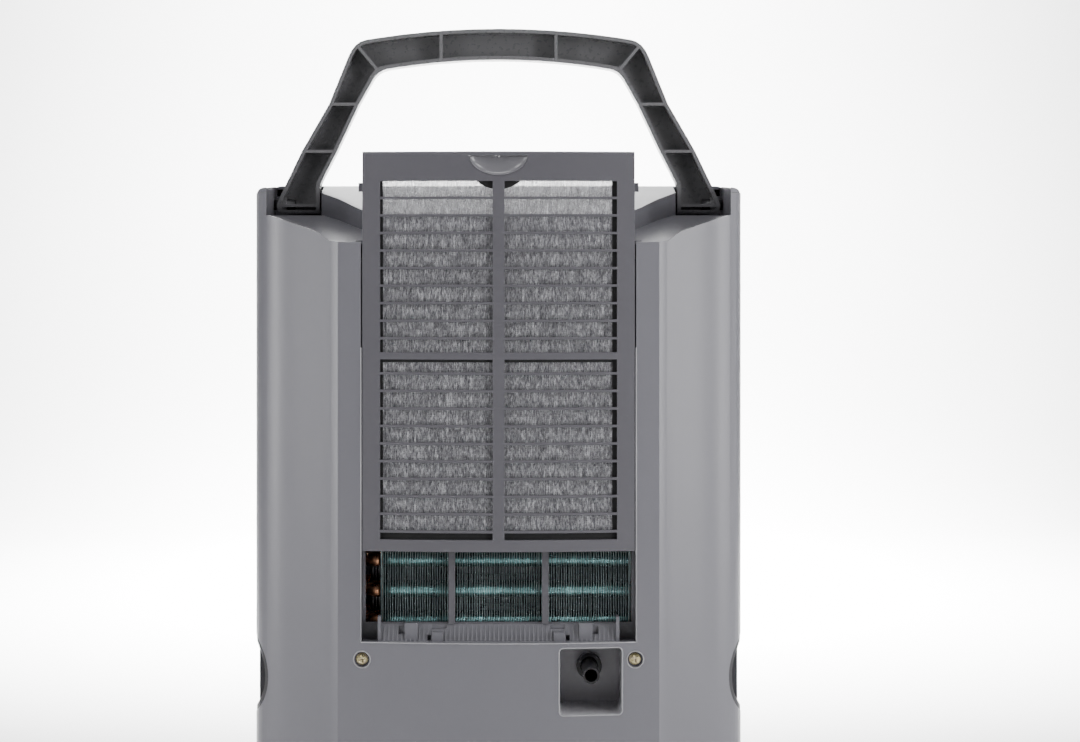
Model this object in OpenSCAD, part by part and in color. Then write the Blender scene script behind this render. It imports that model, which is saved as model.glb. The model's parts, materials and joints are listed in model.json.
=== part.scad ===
// Compact compressor dehumidifier with a folding bail handle, a lift-out air filter at the rear
// and a pull-out water tank at the front. Rear is -Y, front is +Y, +Z is up, and the origin is
// the middle of the footprint on the floor. All sizes are in millimetres.

/* [Body] */
// Half width of the body
half_w = 170; // [165:1:180]
// Half depth of the body
half_d = 115; // [113:0.5:116]
// Height of the top deck above the floor
top_z = 524; // [522:1:526]
// Fall of the top deck from the front to the rear
top_fall = 4; // [3:0.5:5]
// Wall thickness of the moulded shells
wall = 2.5; // [2:0.1:2.8]
// Height of the feet under the base pan
foot_h = 12; // [8:1:14]
// Height where the casings start above the base pan
casing_z = 42; // [40:1:44]
// Plane where the rear and front casings meet
seam_y = 20; // [18:1:22]
// Half width of the flat rear panel between the wings
panel_half = 109.4; // [108:0.2:111]
// Plan radius of the rear panel
panel_r = 600; // [560:10:700]

/* [Handle] */
// Height of the handle pivot
pivot_z = 510; // [509:0.5:511]
// Depth position of the handle pivot
pivot_y = 25; // [24:0.5:26]
// Depth of the handle section
handle_t = 16; // [15:1:18]
// Wall and rib thickness of the handle section
handle_rib = 2.8; // [2:0.1:3.2]
// Radius of the handle pivot pins
pin_r = 4; // [3:0.5:5]

/* [Filter] */
// Width of the filter frame
filter_w = 185; // [180:1:186]
// Height of the filter frame
filter_h = 270; // [260:1:272]
// Distance that the filter stands above its home place
filter_lift = 61.5; // [40:0.5:80]
// Height of the bottom of the filter bay
bay_z = 210; // [208:1:212]
// Half width of the filter bay
bay_half = 93.5; // [93:0.25:94]
// Thickness of the filter frame
filter_t = 4.6; // [4:0.1:5]
// Pitch of the filter slats
slat_pitch = 11.9; // [11:0.1:12.5]

/* [Coils] */
// Pitch of the tube rows
row_pitch = 21; // [20:0.5:22]
// Rows of tubes in each coil
rows = 11; // [8:1:11]
// Outer radius of the coil tubes
tube_r = 4.75; // [4:0.25:5]
// Distance between the two tube columns of a coil
column_gap = 13; // [12:0.5:14]

/* [Tank] */
// Half width of the water tank
tank_half = 126; // [120:1:128]
// Height of the underside of the water tank
tank_z = 46; // [45:1:48]
// Height of the rim of the water tank
tank_top = 196; // [190:1:198]
// Wall thickness of the water tank
tank_wall = 2.2; // [2:0.1:3]

/* [Controls] */
// Distance between the button centres
button_pitch = 26; // [24:1:28]
// Radius of the buttons
button_r = 7; // [6:0.5:8]

/* [Hidden] */

$fn = 48;
gap = 0.2;
far = 400;
shell_grey = [0.56, 0.57, 0.59];
frame_grey = [0.37, 0.37, 0.39];
dark_grey = [0.29, 0.29, 0.31];
light_grey = [0.80, 0.81, 0.82];
black_plastic = [0.06, 0.06, 0.07];
copper = [0.72, 0.38, 0.22];
zinc = [0.75, 0.70, 0.50];
steel = [0.68, 0.69, 0.70];

// ---- plan outline of the body ----
function bez(a, b, c, d, t) =
    pow(1 - t, 3) * a + 3 * pow(1 - t, 2) * t * b + 3 * (1 - t) * t * t * c + pow(t, 3) * d;
function panel_y(x) = -half_d + x * x / (2 * panel_r);

wing_in = [panel_half + 5.2, panel_y(panel_half) + 4];
wing_out = [half_w, -57];
front_r = 900;
front_x = 130;
function front_y(x) = half_d - x * x / (2 * front_r);

half_outline = concat(
    [for (i = [0:6]) let (x = panel_half * i / 6) [x, panel_y(x)]],
    [for (i = [0:12]) bez(wing_in, wing_in + [24, 10.5], wing_out - [1.5, 25], wing_out, i / 12)],
    [for (i = [0:8]) bez([half_w, 66], [half_w, 92], [158, 102], [front_x, front_y(front_x)], i / 8)],
    [for (i = [4:-1:0]) let (x = front_x * i / 5) [x, front_y(x)]]
);
function mirrored(p) = [for (i = [len(p) - 1:-1:0]) if (abs(p[i][0]) > 0.01) [-p[i][0], p[i][1]]];
outline = concat(half_outline, mirrored(half_outline));

// Moves every edge of a closed counter-clockwise outline inwards by d.
function left_of(v) = [-v[1], v[0]] / norm(v);
function inset(p, d) =
    let (n = len(p))
    [for (i = [0:n - 1])
        let (
            a = left_of(p[i] - p[(i + n - 1) % n]),
            b = left_of(p[(i + 1) % n] - p[i])
        )
        p[i] + d * (a + b) / (1 + a * b)];

// Replaces each corner of a closed outline by a short curve that starts r from the corner.
function rounded(p, r, steps = 4) =
    let (n = len(p))
    [for (i = [0:n - 1])
        let (
            u = p[(i + n - 1) % n] - p[i],
            v = p[(i + 1) % n] - p[i],
            a = p[i] + u / norm(u) * min(r[i], norm(u) * 0.49),
            b = p[i] + v / norm(v) * min(r[i], norm(v) * 0.49)
        )
        for (k = [0:r[i] > 0 ? steps : 0])
            let (t = k / steps)
            pow(1 - t, 2) * a + 2 * (1 - t) * t * p[i] + t * t * b];

module slab(points, z0, z1) {
    translate([0, 0, z0])
        linear_extrude(z1 - z0)
            polygon(points);
}

module block(x0, x1, y0, y1, z0, z1) {
    translate([x0, y0, z0])
        cube([x1 - x0, y1 - y0, z1 - z0]);
}

// Extrudes an outline drawn in X and Z along Y.
module along_y(y0, y1) {
    translate([0, y1, 0])
        rotate([90, 0, 0])
            linear_extrude(y1 - y0)
                children();
}

// Extrudes an outline drawn in Y and Z along X.
module along_x(x0, x1) {
    translate([x0, 0, 0])
        rotate([90, 0, 90])
            linear_extrude(x1 - x0)
                children();
}

module rod_x(x0, x1, y, z, r) {
    translate([x0, y, z])
        rotate([0, 90, 0])
            cylinder(r = r, h = x1 - x0);
}

module rod_y(x, y0, y1, z, r) {
    translate([x, y1, z])
        rotate([90, 0, 0])
            cylinder(r = r, h = y1 - y0);
}

module rod_z(x, y, z0, z1, r) {
    translate([x, y, z0])
        cylinder(r = r, h = z1 - z0);
}

module both_sides() {
    children();
    mirror([1, 0, 0])
        children();
}

// Rounds the top side corners of whatever it cuts, and lets its top fall towards the rear.
top_r = 9;
fall_y = [-62, 30];
module top_section(y0, y1) {
    reach = half_w + 0.01;
    along_y(y0, y1)
        polygon(rounded(
            [[-reach, 0], [reach, 0], [reach, top_z], [-reach, top_z]],
            [0.1, 0.1, top_r, top_r], 6));
}

module rounded_top() {
    intersection() {
        children();
        union() {
            top_section(fall_y[1], far);
            intersection() {
                translate([0, fall_y[1], top_z])
                    rotate([atan(top_fall / (fall_y[1] - fall_y[0])), 0, 0])
                        translate([0, -fall_y[1], -top_z])
                            top_section(-far, far);
                block(-far, far, -far, fall_y[1], far / 2, far * 2);
            }
        }
    }
}

// ---- the dish in the top that the handle folds into ----
dish_front = 39;
dish_side = 165.5;
dish_rear_side = 161;
floor_deep = 480;
floor_shallow = pivot_z - handle_t / 2 - 0.4;

module dish_floor_fill(drop = 0) {
    translate([0, 0, -drop]) {
        along_y(-far, dish_front + 3)
            polygon([
                [-200, 300], [200, 300], [200, 500.2], [159.5, 500], [139, 493.6], [124, 488],
                [112, floor_deep], [-112, floor_deep], [-124, 488], [-139, 493.6], [-159.5, 500],
                [-200, 500.2]
            ]);
        along_x(-dish_side, dish_side)
            polygon([[-113, 300], [dish_front + 3, 300], [dish_front + 3, floor_shallow],
                [9, floor_shallow], [-113, floor_deep]]);
    }
}

module dish_plan(z0, z1, grow = 0) {
    slab([
        [-dish_rear_side - grow, -far], [dish_rear_side + grow, -far], [dish_rear_side + grow, -75],
        [dish_side + grow, -45], [dish_side + grow, dish_front + grow],
        [-dish_side - grow, dish_front + grow], [-dish_side - grow, -45], [-dish_rear_side - grow, -75]
    ], z0, z1);
}

module dish_space() {
    difference() {
        dish_plan(floor_deep - 5, top_z + 20);
        dish_floor_fill();
    }
}

island_plan = [
    [-86, -71], [0, -77], [86, -71], [98.5, -49], [115, -13], [129.7, 12], [129.7, dish_front + 1],
    [-129.7, dish_front + 1], [-129.7, 12], [-115, -13], [-98.5, -49]
];
island_rear_z = 498.5;

module island(plan, drop) {
    intersection() {
        slab(plan, floor_deep - 12 - drop, top_z);
        along_x(-far, far)
            polygon([
                [-80, 400], [dish_front + 2, 400], [dish_front + 2, top_z - drop],
                [dish_front, top_z - drop], [-80, island_rear_z - drop]
            ]);
    }
}

// ---- shells ----
module ring(z0, z1) {
    difference() {
        slab(outline, z0, z1);
        slab(inset(outline, wall), z0 - 1, z1 + 1);
    }
}

lip_z = top_z - 8;
screw_x = 92.8;
// Drain spigot: place in X and Z, radius, and depth of the pipe that feeds it.
nozzle = [63, 186.5];
nozzle_r = 5.6;
spout_y = -55;
screw_rows = [197.7, 70];
screw_sink = 3.6;
drain_x = [41, 84];
drain_z = [160.5, 206.2];
drain_back = -64;
// Side grips: an arched scoop cut in from the side, closed by a wall at the front.
grip_z = 180.3;
grip_r = 38.7;
grip_depth = 8.2;
grip_front = -37;
grip_wall = 2.2;

module grip_space(grow = 0) {
    rod_y(half_w - grip_depth + grip_r, -far, grip_front + grow, grip_z, grip_r + grow);
}

module drain_shape(y0, y1, grow = 0) {
    along_y(y0, y1)
        polygon(rounded([
            [drain_x[0] - grow, drain_z[0] - grow], [drain_x[1] + grow, drain_z[0] - grow],
            [drain_x[1] + grow, drain_z[1] + grow], [drain_x[0] - grow, drain_z[1] + grow]
        ], [4, 4, 4, 4]));
}

module base_pan() {
    color(dark_grey)
        difference() {
            slab(outline, foot_h, casing_z);
            slab(inset(outline, 3), foot_h + 3, casing_z + 1);
            foot_places()
                rod_z(0, 0, foot_h - 1, foot_h + 4, 3.1);
        }
}

module foot_places() {
    for (x = [-130, 130], y = [-72, 78])
        translate([x, y, 0])
            children();
}

module rubber_feet() {
    color([0.08, 0.08, 0.08])
        foot_places() {
            rod_z(0, 0, 0, foot_h, 13);
            rod_z(0, 0, foot_h, foot_h + 5, 3);
        }
}

// Ledge at the bottom of the filter bay: it slopes, is ribbed, and carries posts and blocks.
ledge_z = [bay_z - 0.8, 220];
ledge_y = [-102.6, -95, -94.1];
ledge_half = 80.4;

module bay_ledge() {
    base = ledge_z[0] - 1;
    intersection() {
        slab(inset(outline, wall - 1), ledge_z[0] - 1.1, ledge_z[0]);
        block(-93, 93, -far, ledge_y[2], 200, 220);
    }
    along_x(-ledge_half, ledge_half)
        polygon([[ledge_y[0], base], [ledge_y[2], base], [ledge_y[2], ledge_z[1]], [ledge_y[1], ledge_z[1]]]);
    for (i = [-26:26])
        along_x(i * 3 - 0.5, i * 3 + 0.5)
            polygon([[ledge_y[0] - 0.8, base + 0.5], [ledge_y[1], base + 0.5],
                [ledge_y[1], ledge_z[1] - 1], [ledge_y[1] - 0.8, ledge_z[1] - 1]]);
    both_sides() {
        block(ledge_half - 0.1, ledge_half + 1.9, -103, ledge_y[2], base, 226);
        block(55, 64, -102, ledge_y[2], base, 221.4);
        block(37.8, 45.2, -104, -96, base, 215.4);
    }
}

module ledge_slots() {
    both_sides() {
        block(35.5, 45.5, -far, -95, 216.8, 219.4);
        block(64, 68, -far, -95.6, 213.5, 218.5);
        block(46, 48.5, -far, -96, ledge_z[0] + 0.2, 213);
    }
}

module rear_casing() {
    screw_y = panel_y(screw_x);
    color(shell_grey) {
        difference() {
            union() {
                ring(casing_z + gap, lip_z - gap);
                for (z = screw_rows)
                    both_sides()
                        rod_y(screw_x, screw_y + 1, screw_y + screw_sink + 2.6, z, 6.4);
            }
            block(-far, far, seam_y, far, 0, far * 2);
            dish_space();
            block(-bay_half, bay_half, -far, -90, bay_z - 0.5, far * 2);
            drain_shape(-far, -90);
            both_sides()
                grip_space(grip_wall + 0.1);
            for (z = screw_rows)
                both_sides() {
                    rod_y(screw_x, -130, screw_y + screw_sink, z, 5.3);
                    rod_y(screw_x, -130, -95, z, 2.1);
                }
            rod_y(-60, -120, -105, 75, 7.1);
        }
        difference() {
            bay_ledge();
            ledge_slots();
        }
    }
}

panel_x = 84;
panel_z = [446, 494];

module front_casing() {
    color(shell_grey)
        difference() {
            ring(casing_z + gap, lip_z - gap);
            block(-far, far, -far, seam_y + gap, 0, far * 2);
            dish_space();
            block(-tank_half - 3.2, tank_half + 3.2, 80, far, 0, 206);
            block(-panel_x, panel_x, 80, far, panel_z[0], panel_z[1]);
            for (i = [0:11])
                both_sides()
                    block(160, 175, 36, 84, 250 + i * 12, 254 + i * 12);
        }
}

outlet_x = 106;
outlet_y = [45, 96];
louver_y = 52;
louver_z = top_z - 4;
well_z = 500;

module top_cover() {
    fit = inset(outline, wall + gap);
    color(shell_grey)
        rounded_top()
            difference() {
                union() {
                    difference() {
                        slab(outline, lip_z, top_z);
                        slab(inset(outline, 5), lip_z - 1, top_z - wall);
                        dish_plan(0, far * 2);
                    }
                    intersection() {
                        slab(fit, 480, lip_z + 0.5);
                        difference() {
                            block(-far, far, -88, dish_front + 2.5, 480, top_z - 3);
                            dish_plan(0, far * 2);
                        }
                    }
                    intersection() {
                        slab(fit, 460, lip_z);
                        dish_plan(0, far * 2, 1);
                        difference() {
                            dish_floor_fill();
                            dish_floor_fill(2.5);
                            slab(inset(island_plan, 1), 0, far * 2);
                        }
                    }
                    difference() {
                        island(island_plan, 0);
                        island(inset(island_plan, 2.5), 2.5);
                        block(-far, far, dish_front, far, 0, top_z - 3);
                    }
                    block(-outlet_x - wall, outlet_x + wall, outlet_y[0] - wall, outlet_y[1] + wall,
                        well_z, top_z - 2);
                }
                block(-outlet_x, outlet_x, outlet_y[0], outlet_y[1], 0, far * 2);
                block(-bay_half - 4, bay_half + 4, -far, -100.4, 0, far * 2);
                rod_x(-168, 168, pivot_y, pivot_z, pin_r + 0.03);
                rod_x(-outlet_x - 4, outlet_x + 4, louver_y, louver_z, 2.05);
            }
}

// ---- filter bay ----
bar_x = 32;
rail_end_z = 231.5;

module bay_frame() {
    color(frame_grey) {
        both_sides() {
            block(91, 93, -101.4, -92, rail_end_z, 470);
            block(91, 98, -94, -92, ledge_z[0] - 1, 470);
            block(bar_x - 2.2, bar_x + 2.2, -97, -92.2, ledge_z[1] + 0.2, 468);
        }
        block(-93, 93, -98, -92.2, 466, 470);
        block(-92, 92, -94, -92, ledge_z[0] - 1, ledge_z[1] + 1);
    }
}

tray_x = [-105, 109];
module drip_tray() {
    color(black_plastic)
        difference() {
            block(tray_x[0], tray_x[1], -91.8, -31, 211, 219);
            block(tray_x[0] + 2, tray_x[1] - 2, -90.6, -33, 213, 230);
            rod_z(nozzle[0], spout_y, 200, 230, 5);
        }
}

module drain_recess() {
    fit = inset(outline, wall + 0.1);
    color(frame_grey)
        intersection() {
            slab(fit, 150, 215);
            difference() {
                drain_shape(-112, drain_back + 2, 1.8);
                drain_shape(-130, drain_back);
                rod_y(nozzle[0], drain_back - 4, drain_back + 4, nozzle[1], nozzle_r + 0.15);
            }
        }
}

collar_y = drain_back - 7;
module drain_collar() {
    color(black_plastic)
        difference() {
            rod_y(nozzle[0], collar_y, drain_back - 0.1, nozzle[1], 8.8);
            rod_y(nozzle[0], collar_y - 5, drain_back + 5, nozzle[1], nozzle_r + 0.15);
        }
}

module drain_nozzle() {
    color(black_plastic)
        difference() {
            union() {
                rod_y(nozzle[0], -106, collar_y, nozzle[1], nozzle_r);
                rod_y(nozzle[0], collar_y - 0.1, spout_y + 4, nozzle[1], nozzle_r - 0.3);
                rod_z(nozzle[0], spout_y, nozzle[1], 210.6, 4.3);
            }
            rod_y(nozzle[0], -107, spout_y + 2, nozzle[1], 4.3);
            rod_z(nozzle[0], spout_y, nozzle[1], 215, 3.2);
        }
}

module grip_cup() {
    edge = inset(outline, 0.4);
    color(dark_grey)
        intersection() {
            slab(edge, 140, 220);
            difference() {
                grip_space(grip_wall);
                grip_space();
            }
        }
}

module side_grip_right() {
    grip_cup();
}

module side_grip_left() {
    mirror([1, 0, 0])
        grip_cup();
}

module casing_screws() {
    head_y = panel_y(screw_x) + screw_sink;
    color(zinc)
        for (z = screw_rows)
            both_sides()
                difference() {
                    union() {
                        rod_y(screw_x, head_y - 1.5, head_y, z, 4.2);
                        rod_y(screw_x, head_y - 0.1, head_y + 6.4, z, 1.9);
                    }
                    block(screw_x - 2.6, screw_x + 2.6, head_y - 3, head_y - 0.7, z - 0.5, z + 0.5);
                    block(screw_x - 0.5, screw_x + 0.5, head_y - 3, head_y - 0.7, z - 2.6, z + 2.6);
                }
}

module cord_inlet() {
    color(black_plastic)
        difference() {
            union() {
                rod_y(-60, -114, -104, 75, 7);
                rod_y(-60, -108, -105, 75, 9);
            }
            rod_y(-60, -120, -100, 75, 3.4);
        }
}

// ---- coils ----
first_row_z = 220.5;
fin_z = [first_row_z - 6.5, first_row_z + (rows - 1) * row_pitch + 13];
evap_x = [-79.5, 89.4];
evap_y = [-90, -63.5];
evap_tube_y = -83;
cond_x = [-88, 88];
cond_y = [-60, -34];
cond_tube_y = -53.5;
joint_gap = 0.02;

module tube_grid(x0, x1, y, r) {
    for (i = [0:rows - 1], c = [0, 1])
        rod_x(x0, x1, y + c * column_gap, first_row_z + i * row_pitch, r);
}

module fin_pack(x, y, tube_y) {
    difference() {
        block(x[0], x[1], y[0], y[1], fin_z[0], fin_z[1]);
        tube_grid(x[0] - 1, x[1] + 1, tube_y, tube_r + 0.05);
    }
}

module end_plates(x, y, tube_y) {
    difference() {
        union() {
            block(x[0] - 1.6, x[0] - 0.4, y[0], y[1], fin_z[0], fin_z[1]);
            block(x[1] + 0.4, x[1] + 1.6, y[0], y[1], fin_z[0], fin_z[1]);
        }
        tube_grid(x[0] - 5, x[1] + 5, tube_y, tube_r + 0.05);
    }
}

// Straight tubes with a bend between the two columns at one end and between rows at the other.
module coil_tubes(x, tube_y) {
    x0 = x[0] - 2.4;
    x1 = x[1] + 2.4;
    tube_grid(x0, x1, tube_y, tube_r);
    for (i = [0:rows - 1])
        translate([x0 - joint_gap, tube_y + column_gap / 2, first_row_z + i * row_pitch])
            rotate([0, 0, 90])
                rotate_extrude(angle = 180)
                    translate([column_gap / 2, 0])
                        circle(r = tube_r);
    for (i = [0:rows - 2])
        translate([x1 + joint_gap, tube_y + (i % 2) * column_gap, first_row_z + (i + 0.5) * row_pitch])
            rotate([90, 90, 0])
                rotate_extrude(angle = 180)
                    translate([row_pitch / 2, 0])
                        circle(r = tube_r);
}

module evaporator_fins() {
    color([0.18, 0.43, 0.44])
        fin_pack(evap_x, evap_y, evap_tube_y);
}

module evaporator_end_plates() {
    color(steel)
        end_plates(evap_x, evap_y, evap_tube_y);
}

module evaporator_tubes() {
    color(copper)
        coil_tubes(evap_x, evap_tube_y);
}

module condenser_fins() {
    color([0.70, 0.72, 0.73])
        fin_pack(cond_x, cond_y, cond_tube_y);
}

module condenser_end_plates() {
    color(steel)
        end_plates(cond_x, cond_y, cond_tube_y);
}

module condenser_tubes() {
    color(copper)
        coil_tubes(cond_x, cond_tube_y);
}

module partition_deck() {
    color(dark_grey)
        difference() {
            intersection() {
                slab(inset(outline, 4), 214, 217);
                block(-far, far, -88, far, 200, 230);
            }
            block(-124, tray_x[1] + 1.5, -far, -30, 200, 230);
            rod_z(0, 25, 200, 230, 12);
        }
}

// ---- refrigeration ----
comp = [-84, -54];
comp_r = 43;
comp_z = 25;
comp_h = 140;
grommet_pcd_r = 55;

module comp_legs() {
    for (a = [30, 150, 270])
        translate([comp[0], comp[1], 0])
            rotate([0, 0, a])
                translate([grommet_pcd_r - 8, 0, 0])
                    children();
}

module compressor_shell() {
    color([0.10, 0.10, 0.11])
        difference() {
            union() {
                translate([comp[0], comp[1], comp_z])
                    rotate_extrude($fn = 96)
                        polygon(concat(
                            [[0, 0], [comp_r - 6, 0], [comp_r, 8], [comp_r, comp_h - 16]],
                            [for (i = [1:6]) [comp_r * cos(i * 15), comp_h - 16 + 22 * sin(i * 15)]]
                        ));
                translate([comp[0], comp[1], 21.5])
                    cylinder(r = 50, h = 3.5);
            }
            comp_legs()
                rod_z(0, 0, 20, 30, 2.2);
        }
}

module compressor_grommets() {
    color([0.07, 0.07, 0.07])
        comp_legs()
            difference() {
                rod_z(0, 0, foot_h + 3.1, 21.4, 4);
                rod_z(0, 0, foot_h, 25, 1.6);
            }
}

module terminal_cover() {
    color(black_plastic)
        difference() {
            rod_z(comp[0], comp[1], 172, 186, 20);
            rod_z(comp[0], comp[1], 160, 183, 18);
        }
}

module accumulator() {
    color([0.12, 0.12, 0.13])
        translate([-22, -62, 80])
            rotate_extrude($fn = 64)
                polygon([[0, 0], [5, 0], [13, 10], [13, 84], [5, 94], [0, 94]]);
}

module filter_drier() {
    color(copper)
        translate([8, -45, 90])
            rotate_extrude($fn = 64)
                polygon([[0, 0], [3, 0], [3, 10], [9, 18], [9, 62], [3, 70], [3, 80], [0, 80]]);
}

// A run of pipe with a brazed elbow at each inner point.
module pipe(points, r) {
    for (i = [0:len(points) - 2]) {
        d = points[i + 1] - points[i];
        l = norm(d);
        translate(points[i])
            rotate([0, acos(d[2] / l), atan2(d[1], d[0])])
                cylinder(r = r, h = l);
    }
    for (i = [1:len(points) - 2])
        translate(points[i])
            sphere(r = r + 0.5);
}

module suction_pipe() {
    color(copper)
        pipe([[-22, -62, 174.1], [-22, -62, 200], [-112, -60, 200], [-112, -60, 240], [-98, -70, 240]], 3.6);
}

module discharge_pipe() {
    color(copper)
        pipe([[-118, -45, 165], [-118, -45, 262], [-108, -47, 262]], 3);
}

module capillary_tube() {
    color(copper) {
        for (i = [0:4])
            translate([34, -40, 120 + i * 3.4])
                rotate_extrude($fn = 64)
                    translate([13, 0])
                        circle(r = 1.3, $fn = 24);
        rod_z(47, -40, 138, 205, 1.3);
    }
}

// ---- air side ----
fan_z = 350;
fan_y = [44, 92];
fan_r = 96;

module fan_shape(grow, top) {
    union() {
        translate([0, fan_z])
            circle(r = fan_r + grow, $fn = 128);
        translate([-30 - grow, fan_z])
            square([fan_r - 4 + 30 + 2 * grow, top - fan_z]);
    }
}

module fan_housing() {
    color([0.20, 0.20, 0.21])
        difference() {
            along_y(fan_y[0], fan_y[1])
                fan_shape(2, 498);
            along_y(fan_y[0] + 2, fan_y[1] - 2)
                fan_shape(0, 520);
            rod_y(0, 30, 50, fan_z, 62);
            rod_y(0, 80, 100, fan_z, 14);
        }
}

module fan_wheel() {
    color([0.85, 0.86, 0.86])
        difference() {
            union() {
                rod_y(0, 84, 86.5, fan_z, 82);
                rod_y(0, 66, 85, fan_z, 18);
                for (i = [0:35])
                    translate([0, 0, fan_z])
                        rotate([0, i * 10, 0])
                            translate([70, 52, -0.8])
                                cube([11.5, 32.5, 1.6]);
                difference() {
                    rod_y(0, 50, 52.5, fan_z, 84);
                    rod_y(0, 49, 54, fan_z, 68);
                }
            }
            rod_y(0, 60, 90, fan_z, 4.03);
        }
}

module fan_shaft() {
    color(steel)
        rod_y(0, 62, 104, fan_z, 4);
}

module fan_motor() {
    color([0.16, 0.16, 0.17])
        difference() {
            union() {
                rod_y(0, 95.2, 109, fan_z, 32);
                rod_y(0, 93.4, 96, fan_z, 12);
            }
            rod_y(0, 90, 105, fan_z, 4.04);
        }
}

module motor_bracket() {
    color(steel)
        difference() {
            union() {
                rod_y(0, 92.2, 94.2, fan_z, 40);
                for (a = [90, 210, 330])
                    translate([0, 0, fan_z])
                        rotate([0, -a, 0])
                            translate([0, 92.2, -6])
                                cube([78, 2, 12]);
            }
            rod_y(0, 90, 97, fan_z, 13);
            for (a = [90, 210, 330])
                translate([0, 0, fan_z])
                    rotate([0, -a, 0])
                        translate([70, 0, 0])
                            rod_y(0, 90, 97, 0, 2.2);
        }
}

module outlet_grille() {
    color(dark_grey)
        difference() {
            block(-outlet_x + 0.3, outlet_x - 0.3, outlet_y[0] + 0.3, outlet_y[1] - 0.3, 501, 505);
            for (i = [-9:9])
                block(i * 11 - 4.4, i * 11 + 4.4, outlet_y[0] + 4, 69, 495, 510);
            for (i = [-9:9])
                block(i * 11 - 4.4, i * 11 + 4.4, 73, outlet_y[1] - 4, 495, 510);
        }
}

module outlet_louver() {
    color(shell_grey) {
        difference() {
            block(-outlet_x + 0.6, outlet_x - 0.6, outlet_y[0] + 2.4, outlet_y[1] - 0.6, top_z - 2.6, top_z);
            for (i = [-3:3])
                block(i * 28 - 11, i * 28 + 11, 62, 66, 510, far * 2);
        }
        both_sides() {
            block(outlet_x - 5, outlet_x - 2, louver_y - 3, louver_y + 3, louver_z - 3, top_z - 2.5);
            rod_x(outlet_x - 4, outlet_x + 2.2, louver_y, louver_z, 2);
        }
    }
}

// ---- controls ----
box_x = [108, 158];
module control_box() {
    color([0.85, 0.84, 0.78])
        difference() {
            block(box_x[0], box_x[1], -40, 30, 290, 400);
            block(box_x[0] + 2, box_x[1] + 1, -38, 28, 292, 398);
        }
}

module main_board() {
    color([0.10, 0.35, 0.18]) {
        block(114, 115.6, -34, 24, 298, 392);
        block(115.6, 132, -28, -4, 306, 330);
        block(115.6, 126, 4, 18, 340, 360);
        rod_x(115.6, 136, -14, 360, 7);
    }
}

module run_capacitor() {
    color([0.80, 0.80, 0.78])
        rod_z(134, -4, 232, 286, 15);
}

module humidity_sensor() {
    color([0.90, 0.90, 0.88])
        difference() {
            block(128, 140, -78, -70, 300, 326);
            for (i = [0:3])
                block(130, 138, -80, -74, 304 + i * 5, 306 + i * 5);
        }
}

button_z = 462;
module button_at(i) {
    x = i * button_pitch;
    color(light_grey)
        union() {
            rod_y(x, 103, front_y(x) - 0.1, button_z, button_r);
            rod_y(x, 104, 106, button_z, button_r + 1.4);
        }
}

module button_power() {
    button_at(-2);
}

module button_mode() {
    button_at(-1);
}

module button_timer() {
    button_at(0);
}

module button_fan() {
    button_at(1);
}

module button_humidity() {
    button_at(2);
}

window_x = 34;
window_z = [474, 489];
module control_panel() {
    color([0.12, 0.12, 0.13])
        difference() {
            intersection() {
                difference() {
                    slab(inset(outline, 0.2), panel_z[0] + gap, panel_z[1] - gap);
                    slab(inset(outline, 3.2), 400, 500);
                }
                block(-panel_x + gap, panel_x - gap, 80, far, 400, 500);
            }
            for (i = [-2:2])
                rod_y(i * button_pitch, 90, 130, button_z, button_r + 0.3);
            block(-window_x, window_x, 90, 130, window_z[0], window_z[1]);
        }
}

module display_window() {
    color([0.05, 0.06, 0.07])
        intersection() {
            difference() {
                slab(inset(outline, 0.4), window_z[0] + 0.1, window_z[1] - 0.1);
                slab(inset(outline, 2.4), 400, 500);
            }
            block(-window_x + 0.1, window_x - 0.1, 80, far, 400, 500);
        }
}

module display_board() {
    color([0.10, 0.35, 0.18]) {
        block(-70, 70, 98, 99.6, 450, 490);
        block(-26, 26, 99.6, 106, 475, 488);
        for (i = [-2:2])
            block(i * button_pitch - 3, i * button_pitch + 3, 99.6, 101.9, button_z - 3, button_z + 3);
    }
}

// ---- water tank ----
tank_y = [4, 90];
tank_plan = rounded(
    [[-tank_half, tank_y[0]], [tank_half, tank_y[0]], [tank_half, tank_y[1]], [-tank_half, tank_y[1]]],
    [14, 14, 8, 8]);

module water_tank() {
    color([0.75, 0.78, 0.80, 0.5])
        difference() {
            slab(tank_plan, tank_z, tank_top);
            slab(inset(tank_plan, tank_wall), tank_z + tank_wall, tank_top + 1);
        }
}

module tank_lid() {
    color(light_grey)
        difference() {
            union() {
                slab(tank_plan, tank_top + 0.05, tank_top + 2.6);
                slab(inset(tank_plan, tank_wall + 0.4), tank_top - 5, tank_top + 0.1);
            }
            slab(inset(tank_plan, tank_wall + 2), tank_top - 6, tank_top);
            rod_z(0, 25, 180, 210, 16);
        }
}

tank_front_z = [43, 205.2];
module tank_front() {
    color(shell_grey)
        difference() {
            union() {
                intersection() {
                    difference() {
                        slab(outline, tank_front_z[0], tank_front_z[1]);
                        slab(inset(outline, wall), 0, 300);
                        block(-13, 13, 80, 130, 70, 150);
                    }
                    block(-tank_half - 2.2, tank_half + 2.2, 82, far, 0, 300);
                }
                block(-44, 44, tank_y[1] + 0.2, 113, 172, 200);
                both_sides()
                    block(96, 99, tank_y[1] + 0.1, 107, 60, 190);
            }
            block(-41.5, 41.5, tank_y[1] + 2.5, 130, 174.5, 197.5);
        }
}

module tank_window() {
    color([0.55, 0.62, 0.66, 0.4])
        block(-12.9, 12.9, 112.4, 114.4, 70.1, 149.9);
}

module tank_float() {
    color([0.93, 0.93, 0.91])
        difference() {
            block(78, 110, 12, 32, tank_z + tank_wall + 1, tank_z + tank_wall + 15);
            block(80, 108, 14, 30, tank_z, tank_z + tank_wall + 13);
        }
}

module tank_switch() {
    color(black_plastic)
        union() {
            block(60, 82, -16, -5, 150, 166);
            block(68, 70, -5, 2.6, 154, 162);
        }
}

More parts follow.
